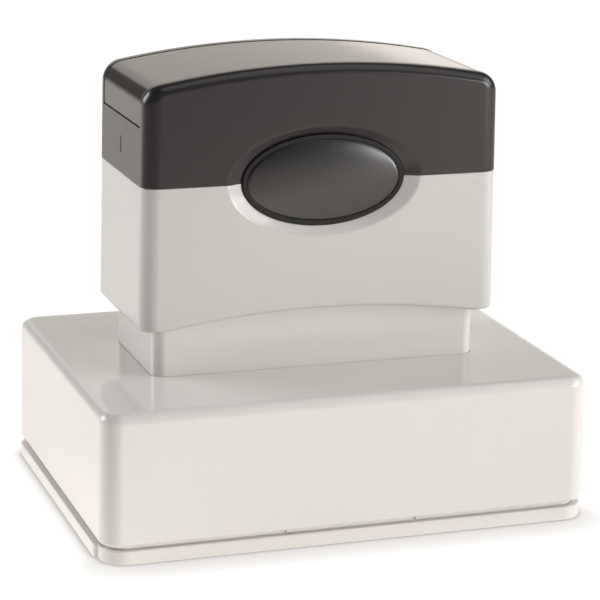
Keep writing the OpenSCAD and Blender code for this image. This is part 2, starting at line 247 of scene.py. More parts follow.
class Wire:
    """An output socket in a node tree, on which plain arithmetic adds Math nodes."""

    def __init__(self, tree, socket=None):
        self.tree, self.socket = tree, socket

    def node(self, kind, settings=None, links=None, out=0):
        """Adds a node, sets its settings, then its sockets' values or links, and gives one of its outputs."""
        made = self.tree.nodes.new("ShaderNode" + kind)
        for name, value in (settings or {}).items():
            if name == "stops":
                ramp = made.color_ramp.elements
                while len(ramp) < len(value):
                    ramp.new(0.5)
                for stop, (at, colour) in zip(ramp, value):
                    stop.position, stop.color = at, colour
            else:
                setattr(made, name, value)
        for name, value in (links or {}).items():
            if isinstance(value, Wire):
                self.tree.links.new(value.socket, made.inputs[name])
            else:
                made.inputs[name].default_value = value
        return Wire(self.tree, made.outputs[out])

    def maths(self, operation, first, second):
        return self.node("Math", {"operation": operation}, {0: first, 1: second})

    def __add__(self, other):
        return self.maths("ADD", self, other)

    __radd__ = __add__

    def __sub__(self, other):
        return self.maths("SUBTRACT", self, other)

    def __rsub__(self, other):
        return self.maths("SUBTRACT", other, self)

    def __mul__(self, other):
        return self.maths("MULTIPLY", self, other)

    __rmul__ = __mul__

    def blend(self, first, second):
        """The first colour where this value is 0, the second where it is 1."""
        return self.node("Mix", {"data_type": "RGBA"}, {0: self, 6: rgba(first), 7: rgba(second)}, out=2)


def rgba(colour):
    return colour if isinstance(colour, Wire) else (*colour[:3], 1.0)


def shade(colour, factor):
    return tuple(c * factor for c in colour[:3])


def finish(name, paint):
    """A material whose surface is a Principled shader, with the values and links that paint gives it."""
    material = bpy.data.materials.new(name)
    material.use_nodes = True
    tree = material.node_tree
    tree.nodes.clear()
    start = Wire(tree)
    spot = start.node("TexCoord", out="Object")
    surface = start.node("BsdfPrincipled", links=paint(start, spot))
    tree.links.new(surface.socket, tree.nodes.new("ShaderNodeOutputMaterial").inputs["Surface"])
    return material


def noise(start, spot, scale, detail=2.0, rough=0.5):
    links = {"Vector": spot, "Scale": scale, "Detail": detail, "Roughness": rough}
    return start.node("TexNoise", links=links)


def moulded(colour, gloss, drift=0.02, spread=0.03, skin=0.000004, coat=0.0, coat_gloss=0.08, ior=1.5):
    """Moulded plastic: slow drift of tone and gloss, and the fine skin of the mould."""

    def paint(start, spot):
        slow = noise(start, spot, DRIFT_SCALE, 3.0)
        fine = noise(start, spot, SKIN_SCALE)
        bump = start.node("Bump", links={"Strength": 1.0, "Distance": skin, "Height": fine})
        return {
            "Base Color": slow.blend(shade(colour, 1 - drift), shade(colour, 1 + drift)),
            "Roughness": gloss + spread * (slow - 0.5) + 0.5 * spread * (fine - 0.5),
            "Normal": bump,
            "IOR": ior,
            "Coat Weight": coat,
            "Coat Roughness": coat_gloss,
        }

    return paint


def plated(start, spot):
    """Zinc-plated steel: a cloudy tone and fine level lines."""
    cloud = noise(start, spot, 300.0, 3.0)
    lines = noise(start, start.node("Mapping", links={"Vector": spot, "Scale": (1.0, 1.0, 8.0)}), 900.0, 2.0)
    return {
        "Base Color": cloud.blend((0.52, 0.52, 0.54), (0.66, 0.66, 0.67)),
        "Metallic": 1.0,
        "Roughness": 0.26 + 0.14 * cloud,
        "Normal": start.node("Bump", links={"Strength": 0.5, "Distance": 0.00002, "Height": lines}),
    }


def soaked_foam(start, spot):
    """Open-cell foam, dark with ink."""
    cells = start.node("TexVoronoi", links={"Vector": spot, "Scale": 1500.0})
    stain = noise(start, spot, 90.0, 4.0)
    return {
        "Base Color": stain.blend((0.012, 0.014, 0.03), (0.035, 0.04, 0.075)),
        "Roughness": 0.5 + 0.35 * cells,
        "Normal": start.node("Bump", links={"Strength": 0.8, "Distance": 0.00025, "Height": cells}),
    }


def soft_plate(start, spot):
    """Porous printing plate, stained where the ink comes through."""
    pores = noise(start, spot, 4000.0, 2.0)
    stain = noise(start, spot, 120.0, 4.0, 0.6)
    return {
        "Base Color": stain.blend((0.09, 0.075, 0.075), (0.2, 0.16, 0.145)),
        "Roughness": 0.55 + 0.2 * pores,
        "Normal": start.node("Bump", links={"Strength": 0.6, "Distance": 0.00005, "Height": pores}),
    }


def blank_card(start, spot):
    """Plain card with a faint fibre."""
    fibre = noise(start, start.node("Mapping", links={"Vector": spot, "Scale": (1.0, 6.0, 6.0)}), 600.0, 4.0)
    return {
        "Base Color": fibre.blend((0.74, 0.72, 0.68), (0.83, 0.81, 0.77)),
        "Roughness": 0.75 + 0.15 * fibre,
        "Normal": start.node("Bump", links={"Strength": 0.4, "Distance": 0.00003, "Height": fibre}),
    }


WHITE_TONE = (0.80, 0.778, 0.75)
BLACK_TONE = (0.0215, 0.019, 0.0197)
BADGE_TONE = (0.014, 0.0127, 0.0127)
white_plastic = finish("white_plastic", moulded(WHITE_TONE, 0.08, drift=0.012, spread=0.02, skin=0.000002))
# Painted shade: the skirt is the base's white darkened to 0.80, standing in for the dimmer light that falls on
# the handle
shaded_skirt_plastic = finish("shaded_skirt_plastic", moulded(shade(WHITE_TONE, 0.80), 0.13, drift=0.012))
# Painted shade, slight: the neck is the base's white set to 0.99, to match how the neck is lit under the skirt
shaded_neck_plastic = finish("shaded_neck_plastic", moulded(shade(WHITE_TONE, 0.99), 0.12, drift=0.012))
black_plastic = finish("black_plastic", moulded(BLACK_TONE, 0.24, drift=0.05, skin=0.000008))
smoke_plastic = finish("smoke_plastic", moulded((0.040, 0.035, 0.032), 0.11, drift=0.04))
badge_gloss = finish("badge_gloss", moulded(BADGE_TONE, 0.24, drift=0.05, coat=0.6, coat_gloss=0.2))
badge_satin = finish("badge_satin", moulded(BADGE_TONE, 0.36, drift=0.05, ior=1.33))
inner_plastic = finish("inner_plastic", moulded((0.62, 0.61, 0.58), 0.42, drift=0.02, skin=0.00001))
carrier_plastic = finish("carrier_plastic", moulded((0.045, 0.045, 0.048), 0.45, drift=0.06, skin=0.00001))
steel = finish("steel", plated)
ink_foam = finish("ink_foam", soaked_foam)
die_rubber = finish("die_rubber", soft_plate)
card = finish("card", blank_card)


def grown(size, by):
    return size[0] + by, size[1] + by


def box(size, z0, z1, at=(0, 0), lean=(0, 0)):
    """A box between two heights, its top drawn in by lean on each side."""
    bm = bmesh.new()
    bmesh.ops.create_cube(bm, size=1.0)
    bmesh.ops.scale(bm, vec=(size[0], size[1], z1 - z0), verts=bm.verts)
    top = [v for v in bm.verts if v.co.z > 0]
    bmesh.ops.scale(bm, vec=(1 - 2 * lean[0] / size[0], 1 - 2 * lean[1] / size[1], 1), verts=top)
    bmesh.ops.translate(bm, vec=(at[0], at[1], (z0 + z1) / 2), verts=bm.verts)
    return bm


def rise(edge):
    return abs(edge.verts[0].co.z - edge.verts[1].co.z)


def bevel(bm, edges, radius, segments=8):
    bmesh.ops.bevel(bm, geom=edges, offset=radius, offset_type="OFFSET", affect="EDGES", segments=segments,
                    profile=0.5, material=-1, clamp_overlap=True)
    return bm


def rounded(size, radius, z0, z1, at=(0, 0), lean=(0, 0), segments=8):
    """A box with rounded upright edges."""
    bm = box(size, z0, z1, at, lean)
    return bevel(bm, [e for e in bm.edges if rise(e) > 0.9 * e.calc_length()], radius, segments)


def rod(x, y, radius, z0, z1, sides=40):
    bm = bmesh.new()
    bmesh.ops.create_cone(bm, cap_ends=True, segments=sides, radius1=radius, radius2=radius, depth=z1 - z0)
    bmesh.ops.translate(bm, vec=(x, y, (z0 + z1) / 2), verts=bm.verts)
    return bm


def oval(size, deep, shallow, flare=1.0, sides=96):
    """An oval plug along Y in the handle's front, from one depth below the face to a shallower one."""
    bm = bmesh.new()
    bmesh.ops.create_circle(bm, cap_ends=True, segments=sides, radius=1.0)
    bmesh.ops.rotate(bm, matrix=Matrix.Rotation(math.pi / 2, 3, "X"), verts=bm.verts)
    bmesh.ops.scale(bm, vec=(size[0], 1, size[1]), verts=bm.verts)
    made = bmesh.ops.extrude_face_region(bm, geom=bm.faces[:], use_keep_orig=True)["geom"]
    front = [g for g in made if isinstance(g, bmesh.types.BMVert)]
    bmesh.ops.scale(bm, vec=(flare, 1, flare), verts=front)
    bmesh.ops.translate(bm, vec=(0, shallow - deep, 0), verts=front)
    bmesh.ops.translate(bm, vec=(0, deep - HANDLE[1] / 2, Z_PART), verts=bm.verts)
    bmesh.ops.recalc_face_normals(bm, faces=bm.faces)
    return bm


def joined(*shapes):
    """Several shapes as one."""
    mesh = bpy.data.meshes.new("joined")
    whole = bmesh.new()
    for shape in shapes:
        shape.to_mesh(mesh)
        shape.free()
        whole.from_mesh(mesh)
    bpy.data.meshes.remove(mesh)
    return whole


def placed(bm, name):
    mesh = bpy.data.meshes.new(name)
    bm.to_mesh(mesh)
    bm.free()
    obj = bpy.data.objects.new(name, mesh)
    scene.collection.objects.link(obj)
    return obj


def settled(obj):
    """The shape of an object with its modifiers applied; the object goes."""
    bpy.context.view_layer.update()
    shown = obj.evaluated_get(bpy.context.evaluated_depsgraph_get())
    bm = bmesh.new()
    bm.from_mesh(shown.to_mesh())
    shown.to_mesh_clear()
    bpy.data.meshes.remove(obj.data)
    return bm


def carve(bm, *steps):
    """Works shapes into a shape, in turn: each step is a Boolean operation and its tool."""
    body = placed(bm, "body")
    tools = []
    for operation, tool in steps:
        tools.append(placed(tool, "tool"))
        step = body.modifiers.new("carve", "BOOLEAN")
        step.operation, step.solver, step.object = operation, "EXACT", tools[-1]
    result = settled(body)
    for tool in tools:
        bpy.data.meshes.remove(tool.data)
    bmesh.ops.remove_doubles(result, verts=result.verts, dist=WELD)
    bmesh.ops.dissolve_limit(result, angle_limit=math.radians(FLAT_BEND), verts=result.verts,
                             edges=result.edges)
    return result


def less(tool):
    return "DIFFERENCE", tool


def plus(tool):
    return "UNION", tool


def common(tool):
    return "INTERSECT", tool


def piece(name, bm, material, body, nodes, edge=0.25, segments=2, angle=30.0):
    """A finished piece: small rounds on its sharp edges, smooth shading, and its place in the frame."""
    bmesh.ops.scale(bm, vec=(MM, MM, MM), verts=bm.verts)
    obj = placed(bm, name)
    obj.data.materials.append(material)
    obj.data.shade_smooth()
    if edge:
        soft = obj.modifiers.new("edges", "BEVEL")
        soft.width, soft.segments, soft.profile = edge * MM, segments, 0.5
        soft.limit_method, soft.angle_limit = "ANGLE", math.radians(angle)
        soft.use_clamp_overlap = False
    even = obj.modifiers.new("shading", "WEIGHTED_NORMAL")
    even.mode, even.weight = "FACE_AREA", 50
    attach(obj, body)
    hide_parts(*nodes)
    return obj


def crown_block(inset, depth, z0, steps=16):
    """The outline of the black half seen from the front, drawn in by inset, as a block along Y."""
    half = HANDLE[0] / 2 - inset
    bm = box((2 * half, depth), z0, Z_CROWN)
    along = [e for e in bm.edges if min(v.co.z for v in e.verts) > z0 + PAST
             and abs(e.verts[0].co.x - e.verts[1].co.x) > half]
    bmesh.ops.subdivide_edges(bm, edges=along, cuts=steps - 1, use_grid_fill=True)
    shoulder = half - CROWN_SHOULDER
    for v in bm.verts:
        if v.co.z > Z_CROWN - NEAR:
            v.co.x *= shoulder / half
            v.co.z = Z_CROWN - CROWN_ARC + math.sqrt((CROWN_ARC - inset) ** 2 - v.co.x ** 2)
    ends = [e for e in bm.edges if rise(e) < NEAR and min(abs(v.co.x) for v in e.verts) > shoulder - NEAR
            and min(v.co.z for v in e.verts) > z0 + PAST]
    lean = math.asin(shoulder / CROWN_ARC)
    radius = max(CROWN_CORNER - inset, CROWN_CORNER_LEAST)
    return bevel(bm, ends, radius / math.tan((math.pi / 2 + lean) / 2))


def make_base():
    outer = rounded(BASE, BASE_ROUND, Z_BASE, Z_ROOF, lean=(BASE_DRAFT, BASE_DRAFT), segments=FINE_ARC)
    bevel(outer, [e for e in outer.edges if min(v.co.z for v in e.verts) > Z_ROOF - NEAR], BASE_EDGE)
    room = rounded(ROOM, ROOM_ROUND, Z_BASE - PAST, Z_CEILING)
    wall_x, wall_y = (side / 2 - RIB_MIDDLE for side in ROOM)
    kept = [box(RIB, Z_GRIP, Z_CEILING + PAST, (x * RIB_PLACE[0], s * wall_y)) for x, s in CORNERS]
    kept += [box(RIB[::-1], Z_GRIP, Z_CEILING + PAST, (s * wall_x, y * RIB_PLACE[1])) for y, s in CORNERS]
    kept += [rod(x * BOSS_PLACE[0], y * BOSS_PLACE[1], BOSS, Z_CEILING - BOSS_DROP, Z_CEILING + PAST)
             for x, y in CORNERS]
    room = carve(room, less(joined(*kept)))
    pilots = [rod(x * BOSS_PLACE[0], y * BOSS_PLACE[1], PILOT, Z_CEILING - PILOT_DROP, Z_CEILING + NEAR)
              for x, y in CORNERS]
    hole = rounded(grown(NECK, NECK_GAP), NECK_ROUND + NECK_GAP / 2, Z_CEILING - PAST, Z_ROOF + PAST)
    bm = carve(outer, less(room), less(hole), less(joined(*pilots)))
    piece("base_shell", bm, white_plastic, "base", ["base_housing"], edge=0.38, segments=3)


def pull_lips():
    """A lip along each end of the rim, run out into one corner."""
    spread = (RIM[0] + 2 * LIP_OUT, RIM[1])
    reach = (spread[0] - LIP_STOCK) / 2
    stock = [rounded((LIP_STOCK, 2 * LIP_LENGTH), LIP_ROUND, -PAST, Z_RIM_TOP + PAST,
                     at=(s * reach, -s * RIM[1] / 2)) for s in SIDES]
    return carve(rounded(spread, RIM_ROUND, 0, Z_RIM_TOP, segments=FINE_ARC), common(joined(*stock)))


def snap_bead(side):
    """The bead that snaps into the base, on the front or the back of the upstand."""
    low, high = (Z_BASE + height for height in BEAD_HEIGHTS)
    bead = box(BEAD, low, high, (0, side * (UPSTAND[1] / 2 - BEAD_SINK)))
    outer = [e for e in bead.edges if rise(e) < NEAR and all(side * v.co.y > UPSTAND[1] / 2 for v in e.verts)]
    return bevel(bead, outer, BEAD_ROUND, 2)


def make_dust_cover():
    inside = (UPSTAND[1] - UPSTAND_WALL) / 2
    slits = [box(SLIT, Z_RIM_TOP, Z_GRIP + PAST, (x * SLIT_X, s * inside)) for x, s in CORNERS]
    marks = [box(SLIT_MARK, Z_RIM_TOP, Z_BASE + PAST, (x * SLIT_X, s * SEAT[1] / 2)) for x, s in CORNERS]
    rim = carve(rounded(RIM, RIM_ROUND, 0, Z_RIM_TOP, segments=FINE_ARC), plus(pull_lips()))
    bevel(rim, [e for e in rim.edges if max(v.co.z for v in e.verts) < NEAR], RIM_FOOT_EDGE, 4)
    bevel(rim, [e for e in rim.edges if min(v.co.z for v in e.verts) > Z_RIM_TOP - NEAR], RIM_TOP_EDGE, 3)
    channel = rounded(CHANNEL, CHANNEL_ROUND, Z_RIM_TOP - CHANNEL_DEPTH, Z_RIM_TOP + PAST, segments=FINE_ARC)
    seat_low, foot_high = (Z_RIM_TOP + height for height in SEAT_FOOT_RISE)
    bm = carve(rim, less(channel),
               plus(rounded(grown(SEAT, -SEAT_UNDERCUT), SEAT_FOOT_ROUND, Z_SEAT_ROOT, foot_high)),
               plus(rounded(SEAT, SEAT_ROUND, seat_low, Z_BASE)),
               plus(rounded(UPSTAND, UPSTAND_ROUND, Z_UPSTAND_ROOT, Z_GRIP)),
               plus(joined(*(snap_bead(side) for side in SIDES))),
               less(rounded(TRAY, TRAY_ROUND, Z_TRAY, Z_GRIP + PAST)),
               less(joined(*slits, *marks)))
    piece("cover_tray", bm, white_plastic, "cover", ["dust_cover"], edge=0.07)


def make_neck():
    bores = [rod(s * POST_X, 0, TOWER_BORE, Z_FLANGE - PAST, Z_TOWER + PAST) for s in SIDES]
    bosses = [rod(x * BOSS_PLACE[0], y * BOSS_PLACE[1], BOSS_HOLE, Z_FLANGE - PAST, Z_CEILING + PAST)
              for x, y in CORNERS]
    towers = [rod(s * POST_X, 0, TOWER, Z_CEILING - SUNK, Z_TOWER) for s in SIDES]
    bm = carve(rounded(NECK, NECK_ROUND, Z_FLANGE + NECK_ROOT, Z_NECK),
               plus(rounded(grown(NECK, NECK_FLANGE), NECK_ROUND, Z_FLANGE, Z_CEILING)),
               less(rounded(grown(NECK, -NECK_HOLLOW), NECK_HOLLOW_ROUND, Z_CEILING, Z_NECK + PAST)),
               plus(joined(*towers)), less(joined(*bores)), less(joined(*bosses)))
    piece("neck_collar", bm, shaded_neck_plastic, "base", ["neck_sleeve"], edge=0.2)


def badge_recess():
    """The seat of the badge: a slot round the ring, opened out to the face."""
    slot = oval(grown(BADGE, SLOT_GAP), RECESS_DEPTH, SLOT_TOP)
    mouth = oval(RECESS, RECESS_LIP, -PAST, 1 + (RECESS_FLARE - 1) * (RECESS_LIP + PAST) / RECESS_LIP)
    return less(slot), less(mouth)


def soften_recess(bm):
    """Rounds the line where the badge's recess meets the face of the handle."""
    face = -HANDLE[1] / 2
    brink = [e for e in bm.edges if e.is_manifold and e.calc_face_angle() > SHARP_BRINK
             and all(abs(v.co.y - face) < TOUCH and abs(v.co.x) < RECESS_REACH for v in e.verts)
             and max(abs(v.co.z - Z_PART) for v in e.verts) > TOUCH]
    bevel(bm, brink, RECESS_SOFT, 3)


def badge_backing():
    return oval(BACKING, *BACKING_DEPTHS)


def arch_roller(segments=300):
    """The large round that hollows the lower front and back edges of the handle."""
    bm = bmesh.new()
    bmesh.ops.create_cone(bm, cap_ends=True, segments=segments, radius1=ARCH_ARC, radius2=ARCH_ARC,
                          depth=HANDLE[1] + 4 * PAST)
    bmesh.ops.rotate(bm, matrix=Matrix.Rotation(math.pi / 2, 3, "X"), verts=bm.verts)
    bmesh.ops.translate(bm, vec=(0, 0, Z_SKIRT + ARCH_RISE - ARCH_ARC), verts=bm.verts)
    return bm


def soften_low_edge(bm):
    """Rounds the outer edge of the handle's underside."""

    def low_outside(v):
        outside = abs(v.co.x) > LOW_OUTSIDE[0] or abs(v.co.y) > LOW_OUTSIDE[1]
        return outside and v.co.z < Z_SKIRT + ARCH_RISE + NEAR

    low = [e for e in bm.edges if e.is_manifold and e.calc_face_angle() > SHARP_LOW
           and all(low_outside(v) for v in e.verts)]
    bevel(bm, low, LOW_EDGE, 6)


def make_skirt():
    outer = rounded((HANDLE[0] + 2 * HANDLE_FLARE, HANDLE[1]), HANDLE_ROUND, Z_SKIRT, Z_PART,
                    lean=(HANDLE_FLARE, 0), segments=10)
    backing = carve(badge_backing(), common(box(BACKING_BELOW, Z_SKIRT, Z_PART + 5 * PAST)))
    wall = HANDLE_ROOM[0] / 2 - LEDGE_MIDDLE
    ledges = [box(LEDGE, Z_LEDGE - LEDGE_HEIGHT, Z_LEDGE, (s * wall, 0)) for s in SIDES]
    room = carve(rounded(HANDLE_ROOM, HANDLE_ROOM_ROUND, Z_SKIRT - PAST, Z_PART + PAST),
                 less(backing), less(joined(*ledges)))
    bm = carve(outer, less(room), less(arch_roller()), *badge_recess())
    soften_low_edge(bm)
    soften_recess(bm)
    piece("skirt_shell", bm, shaded_skirt_plastic, "handle", ["handle_skirt"], edge=0.16, angle=20)


def crown_body():
    """The black half with its large rounds, wider on the upright corners than along the crown."""
    bm = crown_block(0.0, HANDLE[1], Z_PART)
    weight = bm.edges.layers.float.new("bevel_weight_edge")
    for e in bm.edges:
        same_side = e.verts[0].co.y * e.verts[1].co.y > 0
        if same_side and max(v.co.z for v in e.verts) > Z_PART + PAST:
            flat = abs(e.verts[0].co.x - e.verts[1].co.x) / e.calc_length()
            e[weight] = 1.0 + (CROWN_EDGE / HANDLE_ROUND - 1.0) * flat
    body = placed(bm, "crown")
    soft = body.modifiers.new("rounds", "BEVEL")
    soft.width, soft.segments, soft.profile, soft.limit_method = HANDLE_ROUND, 8, 0.5, "WEIGHT"
    soft.use_clamp_overlap = False
    return settled(body)


def make_crown():
    bed = carve(box((HANDLE[0] + 2 * PAST, INDEX_WIDTH), Z_INDEX, Z_CROWN + PAST),
                less(crown_block(INDEX_BED, INDEX_WIDTH + 6 * PAST, Z_PART)))
    hollow = crown_block(INDEX_BED + CROWN_WALL, HANDLE_ROOM[1], Z_PART - 3 * PAST)
    room = carve(hollow, less(badge_backing()))
    low, high = (Z_PART + height for height in MARK_HEIGHTS)
    marks = [box(MARK, low, high, (s * HANDLE[0] / 2, 0)) for s in SIDES]
    bm = carve(crown_body(), less(bed), less(room), *badge_recess(), less(joined(*marks)))
    soften_recess(bm)
    piece("crown_shell", bm, black_plastic, "handle", ["handle_top"], edge=0.12, angle=20)


def make_index_cover():
    over = (HANDLE[0] + 2 * PAST, INDEX_WIDTH + 2 * PAST)
    inner = HANDLE[0] - 2 * INDEX_SINK - INDEX_THICK
    foot = carve(box(over, Z_INDEX - PAST, Z_INDEX + INDEX_FOOT),
                 less(box((inner, INDEX_WIDTH + 4 * PAST), Z_INDEX - 2 * PAST, Z_INDEX + PAST)))
    bm = carve(crown_block(INDEX_SINK, INDEX_WIDTH - INDEX_PLAY, Z_PART),
               less(crown_block(INDEX_SINK + INDEX_THICK, INDEX_WIDTH + 2 * PAST, Z_PART - PAST)),
               less(box(over, Z_PART - 2 * PAST, Z_INDEX)), less(foot))
    piece("index_strip", bm, smoke_plastic, "index", ["index_cover"], edge=0.1)


def badge_dome():
    """The lens of the badge: the cap of a ball, drawn out to an oval, on a short wall."""
    bm = bmesh.new()
    rim = [bm.verts.new((1.0, 0.0, 0.0))]
    bmesh.ops.spin(bm, geom=rim, cent=(0, 0, -CAP_CENTRE), axis=(0, 1, 0), angle=math.radians(-CAP_ARC),
                   steps=14)
    bmesh.ops.spin(bm, geom=bm.verts[:] + bm.edges[:], cent=(0, 0, 0), axis=(0, 0, 1), angle=2 * math.pi,
                   steps=96, use_merge=True)
    bmesh.ops.holes_fill(bm, edges=bm.edges, sides=0)
    bmesh.ops.scale(bm, vec=(*grown(BADGE, -LENS_INSET), DOME_CAP / CAP_TOP), verts=bm.verts)
    under = [f for f in bm.faces if max(v.co.z for v in f.verts) < FLUSH]
    wall = bmesh.ops.extrude_face_region(bm, geom=under)["geom"]
    foot = [g for g in wall if isinstance(g, bmesh.types.BMVert)]
    bmesh.ops.translate(bm, vec=(0, 0, DOME_CAP - DOME_RISE), verts=foot)
    bmesh.ops.delete(bm, geom=under, context="FACES_ONLY")
    bmesh.ops.rotate(bm, matrix=Matrix.Rotation(math.pi / 2, 3, "X"), verts=bm.verts)
    bmesh.ops.translate(bm, vec=(0, LENS_SEAT - DOME_RISE + DOME_CAP - HANDLE[1] / 2, Z_PART), verts=bm.verts)
    bmesh.ops.recalc_face_normals(bm, faces=bm.faces)
    return bm


def make_badge():
    well = oval(grown(BADGE, -RING_WIDTH), RING_FLOOR, 0.0)
    ring = carve(oval(BADGE, RECESS_DEPTH, RING_DEPTH), less(well))
    piece("badge_ring", ring, badge_satin, "handle", ["badge_bezel"], edge=0.24, segments=3)
    piece("badge_lens", badge_dome(), badge_gloss, "handle", ["badge_dome"],
          edge=0.05, segments=1, angle=60)


def coil_wire(x, per_turn=24):
    """One wound wire with close turns at both ends."""
    length = Z_LEDGE - Z_CEILING - 2 * COIL_PLAY
    end_pitch = 2 * WIRE + COIL_END_GAP
    open_pitch = (length - 2 * WIRE - 2 * end_pitch) / COIL_TURNS
    bm = bmesh.new()
    bmesh.ops.create_circle(bm, cap_ends=False, segments=10, radius=WIRE)
    bmesh.ops.rotate(bm, matrix=Matrix.Rotation(math.pi / 2, 3, "X"), verts=bm.verts)
    bmesh.ops.translate(bm, vec=(COIL, 0, Z_CEILING + COIL_PLAY + WIRE), verts=bm.verts)
    last = bm.verts[:] + bm.edges[:]
    for count, pitch in ((1, end_pitch), (COIL_TURNS, open_pitch), (1, end_pitch)):
        made = bmesh.ops.spin(bm, geom=last, cent=(0, 0, 0), axis=(0, 0, 1), dvec=(0, 0, pitch / per_turn),
                              angle=2 * math.pi * count, steps=per_turn * count)
        last = [g for g in made["geom_last"] if not isinstance(g, bmesh.types.BMFace)]
    bmesh.ops.remove_doubles(bm, verts=bm.verts, dist=FLUSH)
    bmesh.ops.holes_fill(bm, edges=bm.edges, sides=0)
    bmesh.ops.translate(bm, vec=(x, 0, 0), verts=bm.verts)
    bmesh.ops.recalc_face_normals(bm, faces=bm.faces)
    bmesh.ops.scale(bm, vec=(MM, MM, MM), verts=bm.verts)
    return bm


def make_springs():
    for side, x in (("left", -POST_X), ("right", POST_X)):
        coil = placed(coil_wire(x), "coil_" + side)
        coil.data.materials.append(steel)
        coil.data.shade_smooth()
        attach(coil, "base")
        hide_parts("spring_" + side)
        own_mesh(coil)


def make_plate():
    root = Z_SHEET + PLATE_ROOT
    bars = [box((FIELD[0] * share, BAR_DEPTH), Z_FACE, root, (0, k * BAR_STEP)) for k, share in BARS]
    border = carve(box(grown(FIELD, -BORDER[0]), Z_FACE, root),
                   less(box(grown(FIELD, -BORDER[1]), Z_FACE - PAST, Z_SHEET + PAST)))
    plate = carve(rounded(PAD, PLATE_ROUND, Z_PLATE_BACK, Z_PAD),
                  plus(rounded(FIELD, PLATE_ROUND, Z_SHEET, Z_PLATE_BACK + PLATE_ROOT)),
                  plus(border), plus(joined(*bars)))
    piece("printing_plate", plate, die_rubber, "handle", ["die_plate"], edge=0.2)


def make_pad():
    """A cut block of foam that fills its tray."""
    pad = rounded(grown(PAD, -PAD_PLAY), PAD_ROUND, Z_PAD, Z_CARRIER, segments=3)
    long_edges = [e for e in pad.edges if e.calc_length() > PAD_LONG]
    bmesh.ops.subdivide_edges(pad, edges=long_edges, cuts=9, use_grid_fill=True)
    foam = piece("ink_foam_pad", pad, ink_foam, "handle", ["ink_pad"], edge=PAD_EDGE, segments=3)


def make_clip_frame():
    low, high = Z_FRAME_TOP - TAB_ROOT, Z_FRAME_TOP + PAST
    wall_x, wall_y = ((side - TAB[1]) / 2 for side in CLIP_FRAME)
    tabs = [box(TAB, low, high, (x * TAB_X, s * wall_y)) for x, s in CORNERS]
    tabs += [box(TAB[::-1], low, high, (s * wall_x, 0)) for s in SIDES]
    tabs = carve(joined(*tabs), less(rounded(CARRIER, CARRIER_ROUND, Z_FRAME_TOP - PAST, Z_FRAME_TOP)))
    window = rounded(grown(FIELD, WINDOW_GAP), WINDOW_ROUND, Z_SHEET - PAST, Z_PLATE_BACK + PAST)
    clip = carve(rounded(CLIP_FRAME, CLIP_ROUND, Z_SHEET, Z_FRAME_TOP),
                 less(rounded(CARRIER, CARRIER_ROUND, Z_PLATE_BACK, Z_FRAME_TOP + PAST)),
                 less(window), plus(tabs))
    piece("clip_frame", clip, carrier_plastic, "handle", ["die_frame"], edge=0.2)


make_base()
make_dust_cover()
make_neck()
make_skirt()
make_crown()
make_index_cover()
make_badge()
make_springs()
make_plate()
make_pad()
make_clip_frame()

# The CAD nodes whose shape is right as it is get their finish
for node, material in (("neck_screws", steel), ("handle_screws", steel), ("carrier_screws", steel),
                       ("plunger", inner_plastic), ("die_carrier", carrier_plastic), ("index_card", card)):
    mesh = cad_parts[node].data
    mesh.materials.clear()
    mesh.materials.append(material)

# Tones of the lamps
WARM = (1.0, 0.93, 0.86)
PLAIN = (1.0, 0.995, 0.985)
COOL = (0.985, 0.995, 1.0)


def warm(level):
    return tuple(level * c for c in WARM) + (1.0,)


# Floor in metres: how it reflects, how it glows towards the lamps, and the shade under what stands on it
FLOOR_HALF = 4.0
FLOOR_PALE = (0.9, 0.9, 0.9)
FLOOR_DIM = (0.06, 0.06, 0.06)
FLOOR_GLOSS = (0.72, 0.69, 0.66)
FLOOR_GLOW = 0.48
FLOOR_SLOPE = (0.8, 0.6)
FLOOR_FALLOFF = ((0.42, warm(0.34)), (0.54, warm(0.72)), (0.575, warm(1.04)), (0.64, warm(0.36)),
                 (0.76, warm(0.17)))
SHADE_FRONT = (0.030, 0.0394)
SHADE_REACH = (0.0027, 0.0105)
SHADE_LINE_REACH = 0.0012
SHADE_DEPTH = 0.55
SHADE_LINE = 0.4
SHADE_TONE = (1.0, 0.975, 0.945)
SHADE_TONE_RISE = 4.0

# Room: its dim sky from the floor up, and its backdrop from the front to the back, dark from the left edge on
SKY = ((0.0, warm(0.1)), (0.3, warm(0.12)), (1.0, warm(0.08)))
BACKDROP = ((0.3, warm(0.1)), (0.8, warm(0.13)), (0.93, warm(0.95)))
BACKDROP_EDGE = 0.12
BACKDROP_FADE = 4.0

# Camera in metres: its place, and its right, up and back directions
LENS = 143.916
SENSOR = 36.0
SHIFT = (0.00929, -0.00681)
CAMERA_PLACE = (-0.153374, -0.451025, 0.165815)
CAMERA_AXES = ((0.94799, -0.3179, 0.01608), (0.06625, 0.24644, 0.96689), (-0.31134, -0.91554, 0.25468))


def rays(start):
    """1 for what the camera sees, and 1 for what shows in a gloss or through a clear piece."""
    seen, gloss, clear = (start.node("LightPath", out=f"Is {kind} Ray")
                          for kind in ("Camera", "Glossy", "Transmission"))
    return seen, start.node("Math", {"operation": "ADD", "use_clamp": True}, {0: gloss, 1: clear})


def floor_shade(start, along):
    """Soft shade, which reaches further in front, and the fine line under the edge of what stands there."""
    reach = start.node("MapRange", links={0: along, 1: -SHADE_FRONT[0], 2: -SHADE_FRONT[1],
                                          3: SHADE_REACH[0], 4: SHADE_REACH[1]})
    return (1.0 - start.node("AmbientOcclusion", {"samples": 16}, {"Distance": far}, out="AO")
            for far in (reach, SHADE_LINE_REACH))


